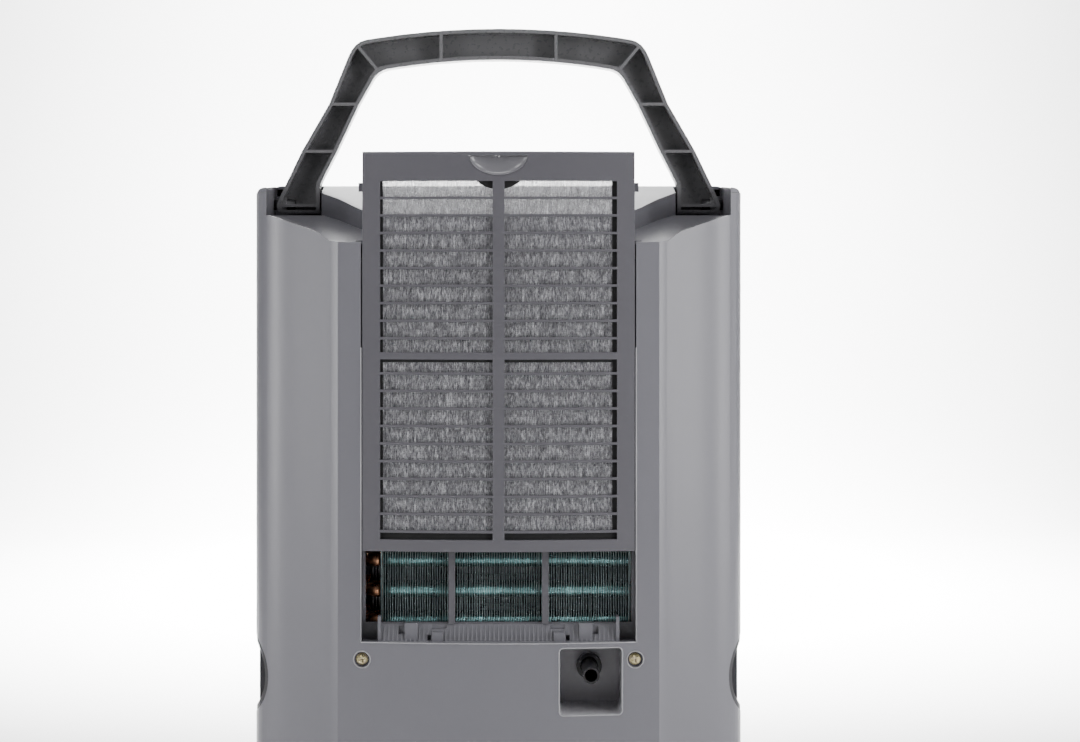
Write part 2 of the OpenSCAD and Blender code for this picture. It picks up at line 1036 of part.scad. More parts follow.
// ---- handle ----
bar_steps = 6;
leg_outer = [[161.4, -7], [163.8, -1], [144.6, 38.9], [124.6, 73.6], [106, 119.5]];
leg_inner = [[88.6, 98.2], [102.4, 73.6], [118.7, 38.9], [131.3, 14.5], [131.6, -7]];
leg_outer_r = [8, 6, 0, 0, 12];
leg_inner_r = [8, 0, 0, 4, 0.6];

// Crown of the bar: height at the centre line and its fall towards each end.
function bar_arc(x_end, z_mid, fall) =
    [for (i = [bar_steps - 1:-1:-bar_steps + 1])
        let (x = x_end * i / bar_steps)
        [x, z_mid - fall * pow(i / bar_steps, 2)]];
function flip(p) = [for (i = [len(p) - 1:-1:0]) [-p[i][0], p[i][1]]];
function reversed(p) = [for (i = [len(p) - 1:-1:0]) p[i]];
bar_zero = [for (i = [2:2 * bar_steps]) 0];

handle_corners = concat(
    leg_outer, bar_arc(106, 129, 9.5), flip(leg_outer),
    flip(leg_inner), flip(bar_arc(-88.6, 106.2, 8)), leg_inner
);
handle_radii = concat(
    leg_outer_r, bar_zero, reversed(leg_outer_r),
    reversed(leg_inner_r), bar_zero, leg_inner_r
);
handle_hollow_radii = [for (r = handle_radii) max(r - 3, r > 0 ? 0.6 : 0)];

// Side view of the handle: straight above the pivot and half round below it.
function handle_side(h) = concat(
    [[-h, 140], [-h, 0]],
    [for (i = [1:11]) [-h * cos(i * 15), -h * sin(i * 15)]],
    [[h, 0], [h, 140]]
);

corner_rib_angle = 50;
module handle_ribs() {
    for (z = [38.9, 73.6])
        block(90, 150, -20, 20, z - 1.1, z + 1.1);
    block(125, 170, -20, 20, -2, 0.2);
    block(41.2, 43.4, -20, 20, 90, 140);
    translate([97.5, 0, 109])
        rotate([0, -corner_rib_angle, 0])
            block(-20, 20, -20, 20, -1.1, 1.1);
    rod_x(156, 170, 0, 0, 6);
}

module handle() {
    h = handle_t / 2;
    color(frame_grey)
        translate([0, pivot_y, pivot_z])
            difference() {
                intersection() {
                    along_y(-h, h)
                        polygon(rounded(handle_corners, handle_radii));
                    along_x(-far, far)
                        polygon(reversed(handle_side(h)));
                }
                difference() {
                    along_y(-h - 1, h - 3)
                        polygon(rounded(inset(handle_corners, handle_rib), handle_hollow_radii));
                    both_sides()
                        handle_ribs();
                }
                both_sides()
                    rod_x(150, 170, 0, 0, pin_r + 0.02);
            }
}

module handle_pins() {
    color(steel)
        both_sides()
            rod_x(150.1, 167.2, pivot_y, pivot_z, pin_r);
}

// ---- filter ----
filter_z0 = bay_z + filter_lift;
filter_z1 = filter_z0 + filter_h;
open_half = 80.4;
open_z = [filter_z0 + 8, filter_z1 - 19];
mid_bar_z = filter_z0 + 132.5;
mid_bar_t = 4.8;
slat_t = 1.7;
slat_depth = 3.2;

// A strip that follows the curve of the rear panel, from depth d0 to depth d1.
module curved_plate(x0, x1, d0, d1, z0, z1) {
    slab(concat(
        [for (i = [0:12]) let (x = x0 + (x1 - x0) * i / 12) [x, panel_y(x) + d0]],
        [for (i = [12:-1:0]) let (x = x0 + (x1 - x0) * i / 12) [x, panel_y(x) + d1]]
    ), z0, z1);
}

// Windows between the slats, from the middle bar up or down.
module slat_windows(x0, x1) {
    up = floor((open_z[1] - mid_bar_z) / slat_pitch);
    down = floor((mid_bar_z - open_z[0]) / slat_pitch);
    for (i = [0:up])
        block(x0, x1, -130, -90,
            mid_bar_z + i * slat_pitch + (i == 0 ? mid_bar_t : slat_t) / 2,
            i == up ? open_z[1] : mid_bar_z + (i + 1) * slat_pitch - slat_t / 2);
    for (i = [0:down])
        block(x0, x1, -130, -90,
            i == down ? open_z[0] : mid_bar_z - (i + 1) * slat_pitch + slat_t / 2,
            mid_bar_z - i * slat_pitch - (i == 0 ? mid_bar_t : slat_t) / 2);
}

scoop_w = 20;
scoop_h = 13.6;
scoop_top = filter_z1 - 2;
function half_ellipse(a, b, z) = [for (i = [0:16]) [-a * cos(i * 180 / 16), z - b * sin(i * 180 / 16)]];

module filter_frame() {
    w = filter_w / 2;
    color(frame_grey)
        difference() {
            union() {
                curved_plate(-w, w, 0, filter_t, filter_z0, filter_z1);
                along_y(-114, -107.2)
                    polygon(half_ellipse(scoop_w + 2.4, scoop_h + 2.4, scoop_top));
                both_sides()
                    block(w - 1, w + 2.8, -104.6, -101.8, filter_z1 - 26, filter_z1 - 20);
            }
            slat_windows(-open_half, -4);
            slat_windows(4, open_half);
            curved_plate(-84.5, 84.5, slat_depth, filter_t + 1, filter_z0 + 5, filter_z1 - 16.5);
            along_y(-120, -109.4)
                polygon(half_ellipse(scoop_w, scoop_h, scoop_top));
        }
}

module filter_mesh() {
    color([0.75, 0.75, 0.77])
        difference() {
            curved_plate(-84, 84, slat_depth + 0.1, slat_depth + 1, filter_z0 + 5.5, filter_z1 - 17);
            along_y(-130, -90)
                polygon(half_ellipse(scoop_w + 3, scoop_h + 3, scoop_top));
        }
}

base_pan();
rubber_feet();
rear_casing();
front_casing();
top_cover();
bay_frame();
evaporator_fins();
evaporator_end_plates();
evaporator_tubes();
condenser_fins();
condenser_end_plates();
condenser_tubes();
drip_tray();
partition_deck();
compressor_shell();
compressor_grommets();
accumulator();
terminal_cover();
suction_pipe();
discharge_pipe();
capillary_tube();
filter_drier();
fan_housing();
fan_motor();
motor_bracket();
control_box();
main_board();
run_capacitor();
display_board();
control_panel();
display_window();
outlet_grille();
drain_recess();
drain_collar();
drain_nozzle();
side_grip_left();
side_grip_right();
casing_screws();
cord_inlet();
tank_switch();
humidity_sensor();
handle();
handle_pins();
filter_frame();
filter_mesh();
water_tank();
tank_front();
tank_window();
tank_lid();
tank_float();
fan_wheel();
fan_shaft();
outlet_louver();
button_power();
button_mode();
button_timer();
button_fan();
button_humidity();
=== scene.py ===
"""Looks of the dehumidifier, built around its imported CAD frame. Lengths are in metres.

The rear panel faces -Y, the tank and controls face +Y, and +Z is up."""

import json
import math
import random

import bpy
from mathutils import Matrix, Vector


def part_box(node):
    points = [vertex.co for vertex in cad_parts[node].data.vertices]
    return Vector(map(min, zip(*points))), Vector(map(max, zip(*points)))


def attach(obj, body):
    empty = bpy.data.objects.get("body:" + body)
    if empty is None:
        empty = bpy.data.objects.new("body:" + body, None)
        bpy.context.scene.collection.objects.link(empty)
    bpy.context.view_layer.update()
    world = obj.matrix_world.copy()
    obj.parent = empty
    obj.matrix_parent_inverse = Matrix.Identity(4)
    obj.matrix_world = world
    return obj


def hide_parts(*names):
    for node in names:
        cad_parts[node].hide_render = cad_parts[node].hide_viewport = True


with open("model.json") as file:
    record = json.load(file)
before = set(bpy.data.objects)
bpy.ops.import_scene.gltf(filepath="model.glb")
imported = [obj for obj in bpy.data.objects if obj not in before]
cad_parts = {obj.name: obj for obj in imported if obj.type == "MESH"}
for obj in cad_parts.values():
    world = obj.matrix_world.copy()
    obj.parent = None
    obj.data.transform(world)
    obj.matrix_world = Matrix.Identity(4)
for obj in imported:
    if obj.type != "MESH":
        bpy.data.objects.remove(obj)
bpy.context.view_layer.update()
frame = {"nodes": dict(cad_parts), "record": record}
MM = 0.001
MERGE_DISTANCE = 0.01 * MM
# The part of a noise texture's range that it fills most of the time.
NOISE_RANGE = (0.3, 0.7)
NODES = frame["nodes"]
SLOT_OF = {s["node"]: s["material_slot"] for s in frame["record"]["subparts"]}


# ---------------------------------------------------------------- materials
class Shader:
    """A small helper for building one node-based material."""

    def __init__(self, name):
        self.material = bpy.data.materials.new(name)
        self.material.use_nodes = True
        self.tree = self.material.node_tree
        self.bsdf = self.tree.nodes["Principled BSDF"]
        self.coords = self.add("ShaderNodeTexCoord").outputs["Object"]

    def add(self, kind, **settings):
        node = self.tree.nodes.new(kind)
        for key, value in settings.items():
            setattr(node, key, value)
        return node

    def link(self, source, target):
        self.tree.links.new(source, target)

    def color(self, source):
        self.link(source, self.bsdf.inputs["Base Color"])

    def roughness(self, source):
        self.link(source, self.bsdf.inputs["Roughness"])

    def set(self, **sockets):
        for key, value in sockets.items():
            self.bsdf.inputs[key.replace("_", " ")].default_value = value

    def stretched(self, scale):
        node = self.add("ShaderNodeMapping")
        node.inputs["Scale"].default_value = scale
        self.link(self.coords, node.inputs["Vector"])
        return node.outputs["Vector"]

    def noise(self, scale, detail=3.0, stretch=(1, 1, 1), rough=0.5):
        node = self.add("ShaderNodeTexNoise")
        node.inputs["Scale"].default_value = scale
        node.inputs["Detail"].default_value = detail
        node.inputs["Roughness"].default_value = rough
        self.link(self.stretched(stretch), node.inputs["Vector"])
        return node.outputs["Fac"]

    def ramp(self, source, stops):
        node = self.add("ShaderNodeValToRGB")
        elements = node.color_ramp.elements
        while len(elements) < len(stops):
            elements.new(0.5)
        for element, (place, value) in zip(elements, stops):
            element.position = place
            element.color = value if len(value) == 4 else (*value, 1)
        self.link(source, node.inputs["Fac"])
        return node.outputs["Color"]

    def spread(self, source, low, high):
        node = self.add("ShaderNodeMapRange")
        node.inputs["From Min"].default_value, node.inputs["From Max"].default_value = NOISE_RANGE
        node.inputs["To Min"].default_value = low
        node.inputs["To Max"].default_value = high
        self.link(source, node.inputs["Value"])
        return node.outputs["Result"]

    def mix(self, factor, a, b, mode="MIX"):
        node = self.add("ShaderNodeMix", data_type="RGBA", blend_type=mode)
        for socket, value in ((node.inputs[0], factor), (node.inputs[6], a), (node.inputs[7], b)):
            if isinstance(value, bpy.types.NodeSocket):
                self.link(value, socket)
            else:
                socket.default_value = value
        return node.outputs[2]

    def bump(self, height, distance, strength=1.0):
        node = self.add("ShaderNodeBump")
        node.inputs["Distance"].default_value = distance
        node.inputs["Strength"].default_value = strength
        self.link(height, node.inputs["Height"])
        if self.bsdf.inputs["Normal"].links:
            self.link(self.bsdf.inputs["Normal"].links[0].from_socket, node.inputs["Normal"])
        self.link(node.outputs["Normal"], self.bsdf.inputs["Normal"])


def shade(color, factor):
    """A colour made lighter or darker by a factor."""
    return tuple(c * factor for c in color[:3]) + (1,)


def plastic(name, color, rough=0.42, grain=0.00002, mottle=0.012, edge=0.0, shine=0.5):
    """Moulded plastic: spark-eroded grain, faint flow mottling and patchy gloss."""
    s = Shader(name)
    cloud = s.noise(5, 4)
    tint = s.ramp(cloud, [(0.3, shade(color, 1 - mottle)), (0.7, shade(color, 1 + mottle))])
    speck = s.noise(900, 2)
    darker = s.mix(1.0, tint, shade((1, 1, 1), 0.96), "MULTIPLY")
    tint = s.mix(s.spread(speck, 0.0, 0.4), tint, darker)
    s.color(tint)
    s.roughness(s.spread(s.noise(300, 3), rough - 0.02, rough + 0.03))
    s.bump(s.noise(1500, 2), grain)
    s.set(Specular_IOR_Level=shine)
    if edge:
        s.set(Coat_Weight=edge, Coat_Roughness=0.35)
    return s.material


def metal(name, color, rough=0.3, stretch=(1, 1, 1), scale=60, dark=0.75, grain=0.00001):
    """Bare or coated metal with streaks along the direction it was worked in."""
    s = Shader(name)
    streak = s.noise(scale, 6, stretch)
    s.color(s.ramp(streak, [(0.25, shade(color, dark)), (0.75, shade(color, 1.08))]))
    s.roughness(s.spread(s.noise(scale * 1.7, 4, stretch), rough - 0.08, rough + 0.12))
    s.set(Metallic=1.0)
    s.bump(streak, grain)
    return s.material


def copper():
    """Drawn copper tube with brown patches of oxide and places rubbed bright."""
    s = Shader("copper")
    patch = s.noise(70, 6)
    bright = (0.86, 0.44, 0.25, 1)
    stain = (0.36, 0.15, 0.08, 1)
    rubbed = (0.93, 0.58, 0.38, 1)
    s.color(s.ramp(patch, [(0.35, stain), (0.55, bright), (0.8, rubbed)]))
    s.roughness(s.spread(s.noise(140, 4), 0.22, 0.42))
    s.set(Metallic=1.0)
    s.bump(s.noise(600, 3), 0.00002)
    return s.material


def coated_fin():
    """Blue-green hydrophilic coating on aluminium, paler where it was bent or rubbed."""
    s = Shader("coated_fin")
    wash = s.noise(45, 5, (1, 1, 0.35))
    s.color(s.ramp(wash, [(0.3, (0.27, 0.34, 0.34)), (0.6, (0.40, 0.49, 0.49)), (0.85, (0.60, 0.72, 0.72))]))
    s.roughness(s.spread(s.noise(200, 3), 0.24, 0.42))
    s.set(Metallic=0.75)
    s.bump(s.noise(700, 2), 0.00002)
    return s.material


def net():
    """Grey nylon yarn, dull, with painted shadow and painted glints that vary from strand to strand."""
    s = Shader("nylon_net")
    strand = s.noise(520, 3, (1, 1, 0.3), 0.7)
    # The strand ramp paints shade (shadow) and painted glints (glint) into the yarn's colour.
    shadow, yarn, glint = (0.15, 0.148, 0.165), (0.36, 0.355, 0.38), (0.85, 0.85, 0.88)
    s.color(s.ramp(strand, [(0.36, shadow), (0.52, yarn), (0.64, glint)]))
    s.roughness(s.spread(s.noise(500, 2), 0.35, 0.6))
    s.set(Sheen_Weight=0.25, Sheen_Roughness=0.4)
    s.bump(s.noise(2600, 2), 0.00003)
    return s.material


def fleece():
    """Thin non-woven filter medium: fibres that run mostly up and down, with gaps that let light through,
    painted darker in the gaps as shade and with painted glints on the brightest fibres.
    """
    s = Shader("filter_fleece")
    fibre = s.noise(1400, 3, (1, 1, 0.26), 0.7)
    # Painted shade where the fibres thin out, and painted glints on the brightest fibres.
    shaded_gap, felt, bright = (0.17, 0.167, 0.185), (0.33, 0.325, 0.35), (0.82, 0.82, 0.86)
    s.color(s.ramp(fibre, [(0.36, shaded_gap), (0.5, felt), (0.62, bright)]))
    s.link(s.spread(fibre, 0.55, 0.95), s.bsdf.inputs["Alpha"])
    s.set(Roughness=0.6, Sheen_Weight=0.3)
    s.bump(fibre, 0.00015)
    return s.material


def clear(name, color, rough=0.08, amount=0.9):
    """Clear moulded plastic with faint surface ripple."""
    s = Shader(name)
    s.color(s.ramp(s.noise(12, 2), [(0.3, shade(color, 0.97)), (0.7, color)]))
    s.roughness(s.spread(s.noise(60, 3), rough, rough + 0.08))
    s.set(Transmission_Weight=amount, IOR=1.49)
    s.bump(s.noise(25, 1), 0.0002, 0.3)
    return s.material


def zinc():
    """Yellow passivated zinc on steel: straw colour with faint green and pink bands."""
    s = Shader("yellow_zinc")
    band = s.noise(330, 2)
    s.color(s.ramp(band, [(0.3, (0.56, 0.50, 0.28)), (0.5, (0.86, 0.76, 0.45)), (0.75, (0.78, 0.66, 0.52))]))
    s.roughness(s.spread(s.noise(500, 3), 0.24, 0.4))
    s.set(Metallic=1.0)
    s.bump(s.noise(900, 2), 0.00001)
    return s.material


def rubber():
    """Matt black rubber with a fine rough skin."""
    s = Shader("foot_rubber")
    s.color(s.ramp(s.noise(50, 5), [(0.3, (0.018, 0.018, 0.018, 1)), (0.7, (0.045, 0.045, 0.045, 1))]))
    s.roughness(s.spread(s.noise(200, 3), 0.7, 0.9))
    s.bump(s.noise(700, 3), 0.00008)
    return s.material


def board():
    """Printed circuit board: green mask over copper tracks."""
    s = Shader("circuit_board")
    cells = s.add("ShaderNodeTexBrick", offset=0.35, squash=0.6)
    cells.inputs["Scale"].default_value = 55
    cells.inputs["Mortar Size"].default_value = 0.09
    cells.inputs["Color1"].default_value = (0.015, 0.16, 0.06, 1)
    cells.inputs["Color2"].default_value = (0.02, 0.19, 0.075, 1)
    cells.inputs["Mortar"].default_value = (0.05, 0.34, 0.15, 1)
    s.link(s.stretched((1, 1, 1)), cells.inputs["Vector"])
    s.color(s.mix(s.spread(s.noise(80, 4), 0, 0.25), cells.outputs["Color"], (0.01, 0.09, 0.04, 1)))
    s.roughness(s.spread(s.noise(300, 2), 0.25, 0.4))
    s.bump(cells.outputs["Fac"], 0.00004)
    return s.material


MATERIALS = {
    "shell_plastic": plastic("shell_plastic", (0.172, 0.170, 0.192), 0.30, edge=0.15),
    "frame_plastic": plastic("frame_plastic", (0.112, 0.109, 0.124), 0.34, edge=0.1),
    "handle_plastic": plastic("handle_plastic", (0.165, 0.164, 0.172), 0.28, 0.000006, edge=0.35),
    "dark_plastic": plastic("dark_plastic", (0.038, 0.038, 0.042), 0.45),
    "black_plastic": plastic("black_plastic", (0.012, 0.012, 0.014), 0.32, edge=0.2),
    "light_plastic": plastic("light_plastic", (0.60, 0.61, 0.62), 0.34, mottle=0.03, edge=0.2),
    "panel_plastic": plastic("panel_plastic", (0.013, 0.013, 0.016), 0.24, 0.000004, shine=0.12),
    "evaporator_fin": coated_fin(),
    "condenser_fin": metal("condenser_fin", (0.78, 0.79, 0.80), 0.3, (1, 1, 0.2)),
    "sheet_steel": metal("sheet_steel", (0.60, 0.61, 0.62), 0.34, (1, 1, 0.3), 90),
    "copper_pipe": copper(),
    "screw_zinc": zinc(),
    "pin_steel": metal("pin_steel", (0.10, 0.10, 0.105), 0.4, (0.2, 1, 1), 200),
    "black_paint": plastic("black_paint", (0.014, 0.014, 0.016), 0.26, 0.00003, edge=0.4),
    "foot_rubber": rubber(),
    "circuit_board": board(),
    "capacitor_can": metal("capacitor_can", (0.75, 0.75, 0.76), 0.26, (1, 1, 0.1), 160),
    "filter_net": net(),
    "tank_plastic": clear("tank_plastic", (0.80, 0.86, 0.90, 1), 0.12, 0.85),
    "window_plastic": clear("window_plastic", (0.45, 0.52, 0.56, 1), 0.05, 0.8),
}
FLEECE = fleece()
# The shell's plastic made far lighter for the drain recess: painted light in place of the light that does not
# reach into it.
RECESS_PAINTED_LIGHT_PLASTIC = plastic("recess_plastic_painted_light", (0.48, 0.475, 0.50), 0.34, edge=0.15)
# The frame plastic, polished (lower roughness) for the finger cup and made lighter in colour as painted
# sheen.
CUP_SHEEN_PLASTIC = plastic("polished_frame_plastic_painted_sheen", (0.20, 0.197, 0.215), 0.13, 0.000005, edge=0.6)
# Near-black plastic for the strips and pad that paint the shade of the gaps round the net and under the
# finger cup.
SHADE_STRIP_PLASTIC = plastic("painted_shade_strips", (0.008, 0.008, 0.009), 0.7, 0.00006)
# A lighter copy of the shell plastic for the lips: painted highlight on their rounded edges.
LIP_HIGHLIGHT_PLASTIC = plastic("lip_painted_highlight", (0.36, 0.358, 0.38), 0.22, 0.00001, edge=0.5)
COLLAR = metal("fin_collar", (0.50, 0.80, 0.82), 0.14, (1, 0.3, 0.3), 240, 0.5, 0.00002)


# ---------------------------------------------------------------- mesh helpers
def build(name, verts, faces, body, slot, material=None, smooth=False):
    """A mesh piece that rides on a body and takes a slot's material."""
    mesh = bpy.data.meshes.new(name)
    mesh.from_pydata([tuple(v) for v in verts], [], faces)
    mesh.validate()
    mesh.update()
    piece = bpy.data.objects.new(name, mesh)
    bpy.context.collection.objects.link(piece)
    piece.data.materials.append(material or MATERIALS[slot])
    piece.data.polygons.foreach_set("use_smooth", [smooth] * len(mesh.polygons))
    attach(piece, body)
    return piece


def soften(piece, width, segments=2, angle=22):
    """Rounds the sharp edges of a piece and evens its shading."""
    bevel = piece.modifiers.new("edge_round", "BEVEL")
    bevel.width = width
    bevel.segments = segments
    bevel.limit_method = "ANGLE"
    bevel.angle_limit = math.radians(angle)
    bevel.miter_outer = "MITER_ARC"
    bevel.use_clamp_overlap = True
    even = piece.modifiers.new("even_shading", "WEIGHTED_NORMAL")
    even.keep_sharp = True


def box_faces(start):
    """The six faces of a box whose eight corners start at index start."""
    quads = ((0, 3, 2, 1), (4, 5, 6, 7), (0, 1, 5, 4), (1, 2, 6, 5), (2, 3, 7, 6), (3, 0, 4, 7))
    return [tuple(start + i for i in quad) for quad in quads]


def strip(points, across, depth):
    """A bar of rectangular section swept along points: across and depth are its half sizes as vectors."""
    verts = []
    faces = []
    for p in points:
        verts += [p - across - depth, p + across - depth, p + across + depth, p - across + depth]
    for i in range(len(points) - 1):
        a = 4 * i
        faces += [(a + k, a + (k + 1) % 4, a + 4 + (k + 1) % 4, a + 4 + k) for k in range(4)]
    last = 4 * (len(points) - 1)
    faces += [(3, 2, 1, 0), (last, last + 1, last + 2, last + 3)]
    return verts, faces


def bead(points, radius, closed=False, sides=8):
    """A round bead along points that lie in an upright plane facing -Y."""
    back = Vector((0, 1, 0))
    count = len(points)
    verts = []
    for i, p in enumerate(points):
        before = points[i - 1] if closed or i else p
        after = points[(i + 1) % count] if closed or i < count - 1 else p
        side = (after - before).cross(back).normalized()
        turns = [2 * math.pi * k / sides for k in range(sides)]
        verts += [p + radius * (side * math.cos(a) + back * math.sin(a)) for a in turns]
    faces = []
    for i in range(count if closed else count - 1):
        a, b = sides * i, sides * ((i + 1) % count)
        faces += [(a + k, b + k, b + (k + 1) % sides, a + (k + 1) % sides) for k in range(sides)]
    if not closed:
        last = sides * (count - 1)
        faces += [tuple(range(sides)), tuple(last + k for k in range(sides - 1, -1, -1))]
    return verts, faces


def join(parts):
    """Joins several (verts, faces) lists into one."""
    verts = []
    faces = []
    for v, f in parts:
        base = len(verts)
        verts += v
        faces += [tuple(base + i for i in face) for face in f]
    return verts, faces


def lathe(profile, steps, centre, axis="x"):
    """Turns a list of (along, radius) points round an axis. A radius of 0 at the last one closes the end."""
    verts = []
    rings = []
    for along, radius in profile:
        if radius == 0:
            rings.append([len(verts)])
            verts.append((along, 0, 0))
            continue
        rings.append(list(range(len(verts), len(verts) + steps)))
        turn = 2 * math.pi / steps
        verts += [(along, radius * math.cos(i * turn), radius * math.sin(i * turn)) for i in range(steps)]
    faces = []
    for a, b in zip(rings, rings[1:]):
        if len(b) == 1:
            faces += [(a[i], a[(i + 1) % steps], b[0]) for i in range(steps)]
        else:
            faces += [(a[i], a[(i + 1) % steps], b[(i + 1) % steps], b[i]) for i in range(steps)]
    order = {"x": (0, 1, 2), "y": (2, 0, 1)}[axis]
    c = Vector(centre)
    return [c + Vector((v[order[0]], v[order[1]], v[order[2]])) for v in verts], faces


# ---------------------------------------------------------------- CAD nodes
# Radius of the rounded edges of each node, in millimetres.
EDGE_ROUND = {
    "rear_casing": 0.7, "front_casing": 0.7, "top_cover": 0.8, "base_pan": 1.0, "handle": 0.7,
    "filter_frame": 0.32, "bay_frame": 0.3, "drain_recess": 0.6, "drain_collar": 0.5,
    "drain_nozzle": 0.45, "side_grip_left": 0.7, "side_grip_right": 0.7, "rubber_feet": 1.2,
    "tank_front": 0.7, "tank_lid": 0.5, "water_tank": 0.7, "tank_window": 0.3, "tank_float": 0.8,
    "outlet_louver": 0.6, "outlet_grille": 0.35, "control_panel": 0.5, "display_window": 0.3,
    "fan_housing": 0.6, "fan_wheel": 0.3, "fan_motor": 0.8, "motor_bracket": 0.3, "cord_inlet": 0.6,
    "drip_tray": 0.3, "partition_deck": 0.4, "control_box": 0.6, "main_board": 0.3,
    "run_capacitor": 0.8, "display_board": 0.2, "humidity_sensor": 0.4, "tank_switch": 0.4,
    "terminal_cover": 0.6, "compressor_shell": 0.4, "compressor_grommets": 0.4, "accumulator": 0.8,
}
BUTTON_ROUND = 0.7
FLAT_ANGLE = math.radians(0.3)


def clear_stored_normals(piece):
    """Removes the normals that came with the CAD mesh, so that rounded edges shade evenly."""
    stored = piece.data.attributes.get("custom_normal")
    if stored:
        piece.data.attributes.remove(stored)


def finish_node(node):
    """Gives a CAD node its material, merged corners, rounded edges and even shading."""
    piece = NODES[node]
    piece.data.materials.clear()
    piece.data.materials.append(MATERIALS[SLOT_OF[node]])
    clear_stored_normals(piece)
    piece.data.polygons.foreach_set("use_smooth", [True] * len(piece.data.polygons))
    weld = piece.modifiers.new("merge_corners", "WELD")
    weld.merge_threshold = MERGE_DISTANCE
    width = EDGE_ROUND.get(node, BUTTON_ROUND if node.startswith("button_") else 0)
    if width:
        flat = piece.modifiers.new("merge_flats", "DECIMATE")
        flat.decimate_type = "DISSOLVE"
        flat.angle_limit = FLAT_ANGLE
        soften(piece, width * MM)


for node_name in NODES:
    finish_node(node_name)
# The drain recess takes the lighter copy of the shell plastic, as painted light.
NODES["drain_recess"].data.materials[0] = RECESS_PAINTED_LIGHT_PLASTIC


# ---------------------------------------------------------------- coils
# Plates: pitch, half thickness, steps up a plate, and how far its edges lean and sway.
FIN_PITCH = 1.7 * MM
FIN_HALF_THICKNESS = 0.14 * MM
FIN_LEVELS = 48
FIN_LEAN = 0.12 * MM
FIN_SWAY = 0.10 * MM
FIN_WAVE = 0.9
CONDENSER_PITCH = 2.1 * MM
# Collars round the tubes, and where the tubes run.
COLLAR_RADIUS = 5.2 * MM
COLLAR_GROOVE_DEPTH = 0.3 * MM
COLLAR_GROOVE_WIDTH = 0.4 * MM
COLLAR_STEPS = 28
COLLAR_SIDES = 20
TUBE_RADIUS = 4.75 * MM
TUBE_PITCH = 21 * MM
COLUMN_GAP = 13 * MM
TUBE_ROWS = 11
TUBE_COLUMNS = 2


def fin_pack(name, node, pitch, seed):
    """A pack of thin upright plates with slightly uneven edges, in place of a coil's solid block."""
    low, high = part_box(node)
    draw = random.Random(seed)
    half_thickness = Vector((FIN_HALF_THICKNESS, 0, 0))
    half_depth = Vector((0, (high.y - low.y) / 2, 0))
    parts = []
    count = int((high.x - low.x) / pitch)
    for i in range(count + 1):
        x = low.x + FIN_HALF_THICKNESS + i * (high.x - low.x - 2 * FIN_HALF_THICKNESS) / count
        lean = draw.uniform(-FIN_LEAN, FIN_LEAN)
        phase = draw.uniform(0, 2 * math.pi)
        inner = 0 < i < count
        points = []
        for k in range(FIN_LEVELS + 1):
            z = low.z + (high.z - low.z) * k / FIN_LEVELS
            sway = (lean + FIN_SWAY * math.sin(phase + k * FIN_WAVE)) if inner else 0
            points.append(Vector((x + sway, (low.y + high.y) / 2, z)))
        parts.append(strip(points, half_thickness, half_depth))
    verts, faces = join(parts)
    piece = build(name, verts, faces, "cabinet", SLOT_OF[node])
    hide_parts(node)
    return piece


def collars(name, node, tubes_node, material):
    """The collars that space the plates, one sleeve along each tube."""
    low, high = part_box(node)
    tube_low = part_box(tubes_node)[0]
    groove = COLLAR_RADIUS - COLLAR_GROOVE_DEPTH
    parts = []
    for row in range(TUBE_ROWS):
        for column in range(TUBE_COLUMNS):
            y = tube_low.y + TUBE_RADIUS + column * COLUMN_GAP
            z = tube_low.z + TUBE_RADIUS + row * TUBE_PITCH
            profile = []
            for k in range(COLLAR_STEPS + 1):
                along = low.x + (high.x - low.x) * k / COLLAR_STEPS
                profile += [(along - COLLAR_GROOVE_WIDTH, groove), (along, COLLAR_RADIUS)]
            profile = [(low.x, TUBE_RADIUS)] + profile[1:] + [(high.x, TUBE_RADIUS)]
            parts.append(lathe(profile, COLLAR_SIDES, (0, y, z)))
    verts, faces = join(parts)
    return build(name, verts, faces, "cabinet", SLOT_OF[node], material, smooth=True)


fin_pack("evaporator_fin_plates", "evaporator_fins", FIN_PITCH, 3)
collars("evaporator_fin_collars", "evaporator_fins", "evaporator_tubes", COLLAR)
fin_pack("condenser_fin_plates", "condenser_fins", CONDENSER_PITCH, 5)
collars("condenser_fin_collars", "condenser_fins", "condenser_tubes", MATERIALS["condenser_fin"])

# ---------------------------------------------------------------- filter
PANEL_RADIUS = 600 * MM
PANEL_FRONT = -115 * MM
# The net: half thickness of a strand, spacing, and how far an upright strand strays.
STRAND_HALF = 0.13 * MM
STRAND_PITCH_X = 0.95 * MM
STRAND_PITCH_Z = 1.20 * MM
STRAND_STRAY = 0.25 * MM
NET_DEPTH = 0.35 * MM
LEVEL_STRAND_STEPS = 24
# The fleece: place behind the front of the net's CAD sheet, height of its rumples, and mesh steps.
FLEECE_DEPTH = 0.8 * MM
FLEECE_RUMPLE = 0.04 * MM
FLEECE_STEPS = (56, 80)
SHEET_TOP_GAP = 1.2 * MM


def panel_curve(x, y_mid):
    """The depth at x of a surface that follows the rear panel and is at y_mid in the middle."""
    return y_mid + x * x / (2 * PANEL_RADIUS)


